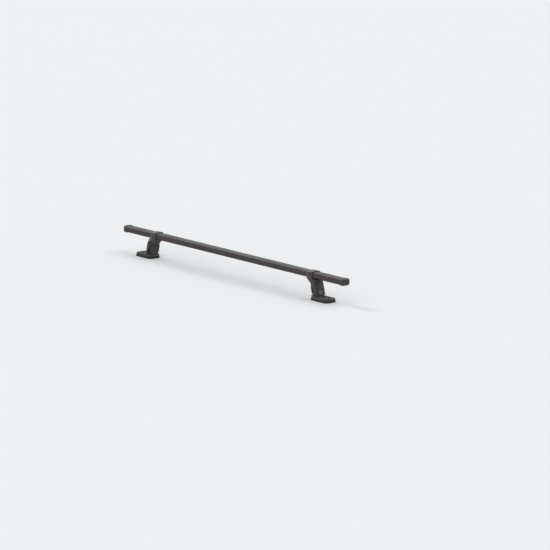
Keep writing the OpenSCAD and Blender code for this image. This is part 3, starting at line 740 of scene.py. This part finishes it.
def makeStudNuts(s, thread):
    low, high, mid = boxOf("right_stud_nut")
    rim, flangeHigh = (high.y - low.y) / 2, low.z + s["flange"]
    head = hexHead("nutHex", s["af"], flangeHigh - s["sunk"], high.z, mid.x, s["bore"], lowCone=False)
    flange = turnedMesh("nutFlange", [
        (s["bore"], low.z), (rim - s["rimInset"], low.z), (rim, low.z + s["rimLow"]),
        (rim, low.z + s["rimHigh"]), (s["af"] / 2, flangeHigh), (s["bore"], flangeHigh),
        (s["bore"], low.z)], mid.x, s["slices"])
    wound = grownMesh("nutThread", thread, {
        "Radius": s["bore"] + s["threadOut"], "Pitch": s["pitch"],
        "Turns": (high.z - low.z - 2 * s["lead"]) / s["pitch"], "Depth": threadSet["depth"],
        "Steps": threadSet["steps"], "Start": (mid.x, 0, low.z + s["lead"]), "Material": finishes["zinc"]})
    nut = joinedMesh("studNut", [head, flange, wound])
    addToBothFeet("_stud_nut_cut", nut, "zinc", "_foot", "_stud_nut")


makeEndCaps(capSet)
print("end caps moulded")
thread = makeThreadTree()
makeClampBolts(clampBoltSet, thread)
makeStudNuts(studNutSet, thread)
print("clamp bolts and stud nuts cut")


# button-head screws, two through each tower's back wall

screwSet = {"lean": 14.0, "shank": 0.00295, "start": 0.0001, "tip": 0.0003, "seat": 0.0067, "head": 0.0045,
            "rise": 0.003, "edge": (0.0002, 0.0003), "domeFoot": 0.0006,
            "domeTurns": (0, 12, 24, 36, 48, 58), "socket": 0.004, "socketDepth": 0.0018,
            "socketEdge": (1.06, 0.0001), "socketPoint": 0.0003}


def makeButtonHead(s):
    # one screw along +Z, with a domed head and a hexagon socket
    slices, shank, start, seat = turnedSlices, s["shank"], s["start"], s["seat"]
    top, foot, floor = seat + s["rise"], seat + s["domeFoot"], seat + s["rise"] - s["socketDepth"]
    inset, lift = s["edge"]
    turn = [math.radians(a) for a in s["domeTurns"]]
    dome = [(s["head"] * math.cos(a), foot + (top - foot) * math.sin(a)) for a in turn]
    profile = [(0, start), (shank - s["tip"], start), (shank, start + s["tip"]), (shank, seat),
               (s["head"] - inset, seat), (s["head"], seat + lift), *dome]
    side = [hexRadius(s["socket"], 360 * i / slices) for i in range(slices)]
    rings = [roundRing(0, r, z, slices) for r, z in profile]
    wide, fall = s["socketEdge"]
    for grow, z in ((wide, top), (1.0, top - fall), (1.0, floor)):
        rings.append(roundRing(0, [grow * r for r in side], z, slices))
    rings.append(roundRing(0, 0, floor - s["socketPoint"], slices))
    return ringMesh("buttonHead", rings)


def makeScrewTree():
    tree, take = geoTree("screwPair", {
        "Screw": "object", "Count": 2, "First": (0.0, 0.0, 0.0), "Step": (0.0, 0.01, 0.0),
        "Turn": (0.0, 0.0, 0.0), "Material": "material"})
    row = geoNode(tree, "MeshLine", {"mode": "OFFSET"}, Count=take["Count"], Start_Location=take["First"],
                  Offset=take["Step"])
    screw = geoNode(tree, "ObjectInfo", Object=take["Screw"])
    put = geoNode(tree, "InstanceOnPoints", Points=row.outputs[0], Instance=screw.outputs["Geometry"],
                  Rotation=take["Turn"])
    closeTree(tree, put.outputs[0], take["Material"])
    return tree


def makeTowerScrews(s):
    pattern = linked("buttonHeadPattern", makeButtonHead(s))
    low, high, _ = boxOf("right_tower_screws")
    lean, apart = math.radians(s["lean"]), high.y - low.y - 2 * s["head"]
    first = (low.x + s["shank"] * math.sin(lean) - s["start"] * math.cos(lean), -apart / 2,
             low.z + s["shank"] * math.cos(lean) - s["start"] * math.sin(lean))
    pair = grownMesh("towerScrews", makeScrewTree(), {
        "Screw": pattern, "Count": 2, "First": first, "Step": (0, apart, 0),
        "Turn": (0, math.pi / 2 - lean, 0), "Material": finishes["zinc"]})
    bpy.data.objects.remove(pattern)
    addToBothFeet("_tower_screws_cut", pair, "zinc", "_foot", "_tower_screws")


makeTowerScrews(screwSet)
print("button-head screws set")


# beads that follow the shoe's crown: a rubber one where the tower enters, and a moulded lip round the well

crownSet = {"foot": 0.465, "middle": 0.0138, "top": 0.016, "toeFall": 0.0035, "sideFall": 0.0025,
            "arcSteps": 16, "stride": 0.0008, "section": 14}
beadSet = {
    "_shoe_bead": {"x": 0.48033, "length": 0.02504, "width": 0.0324, "corner": 0.0011, "thick": 0.0009,
                   "sink": 0.0001, "finish": "rubber"},
    "_well_lip": {"x": boxOf("right_stud_nut")[2].x, "length": 0.0355, "width": 0.0235, "corner": 0.01175,
                  "thick": 0.0009, "sink": 0.0003, "finish": "shoePlastic"},
}


def crownFall(tree, axis, centre, radius):
    # how far a dome of that radius falls, that far from its middle
    off = mathNode(tree, "SUBTRACT", axis, centre)
    twice = mathNode(tree, "MULTIPLY", radius, 2.0)
    return mathNode(tree, "DIVIDE", mathNode(tree, "MULTIPLY", off, off), twice)


def makeBeadTree(s):
    tree, take = geoTree("crownedBead", {
        "Length": 0.02, "Width": 0.03, "Corner": 0.001, "Thick": 0.001, "Place": (0.0, 0.0, 0.0),
        "Middle": 0.48, "Along": 1.0, "Across": 0.1, "Material": "material"})
    path = geoNode(tree, "CurvePrimitiveQuadrilateral", Width=take["Length"], Height=take["Width"])
    loop = geoNode(tree, "FilletCurve", {"mode": "POLY"}, Curve=path.outputs[0], Count=s["arcSteps"],
                   Radius=take["Corner"])
    dense = geoNode(tree, "ResampleCurve", {"mode": "LENGTH"}, Curve=loop.outputs[0], Length=s["stride"])
    section = geoNode(tree, "CurvePrimitiveCircle", Resolution=s["section"], Radius=take["Thick"])
    bead = geoNode(tree, "CurveToMesh", Curve=dense.outputs[0], Profile_Curve=section.outputs[0])
    put = geoNode(tree, "Transform", Geometry=bead.outputs[0], Translation=take["Place"])
    split = tree.nodes.new("ShaderNodeSeparateXYZ")
    tree.links.new(geoNode(tree, "InputPosition").outputs[0], split.inputs[0])
    fall = mathNode(tree, "ADD", crownFall(tree, split.outputs["X"], take["Middle"], take["Along"]),
                    crownFall(tree, split.outputs["Y"], 0.0, take["Across"]))
    shift = tree.nodes.new("ShaderNodeCombineXYZ")
    tree.links.new(mathNode(tree, "MULTIPLY", fall, -1.0), shift.inputs["Z"])
    bent = geoNode(tree, "SetPosition", Geometry=put.outputs[0], Offset=shift.outputs[0])
    closeTree(tree, bent.outputs[0], take["Material"])
    return tree


def makeBeads(beads, crown):
    # the crown is a dome with one radius along the shoe and one across it
    tree = makeBeadTree(crown)
    low, high, _ = boxOf("right_shoe")
    along = (high.x - crown["foot"]) ** 2 / (2 * crown["toeFall"])
    across = (high.y - low.y) ** 2 / (8 * crown["sideFall"])
    for name, s in beads.items():
        bead = grownMesh("bead" + name, tree, {
            "Length": s["length"], "Width": s["width"], "Corner": s["corner"], "Thick": s["thick"],
            "Place": (s["x"], 0, crown["top"] - s["sink"]), "Middle": crown["foot"] + crown["middle"],
            "Along": along, "Across": across, "Material": finishes[s["finish"]]})
        addToBothFeet(name, bead, s["finish"], "_foot")


makeBeads(beadSet, crownSet)
print("beads laid on the shoes")

scene = bpy.context.scene
scene.view_settings.view_transform = "Standard"
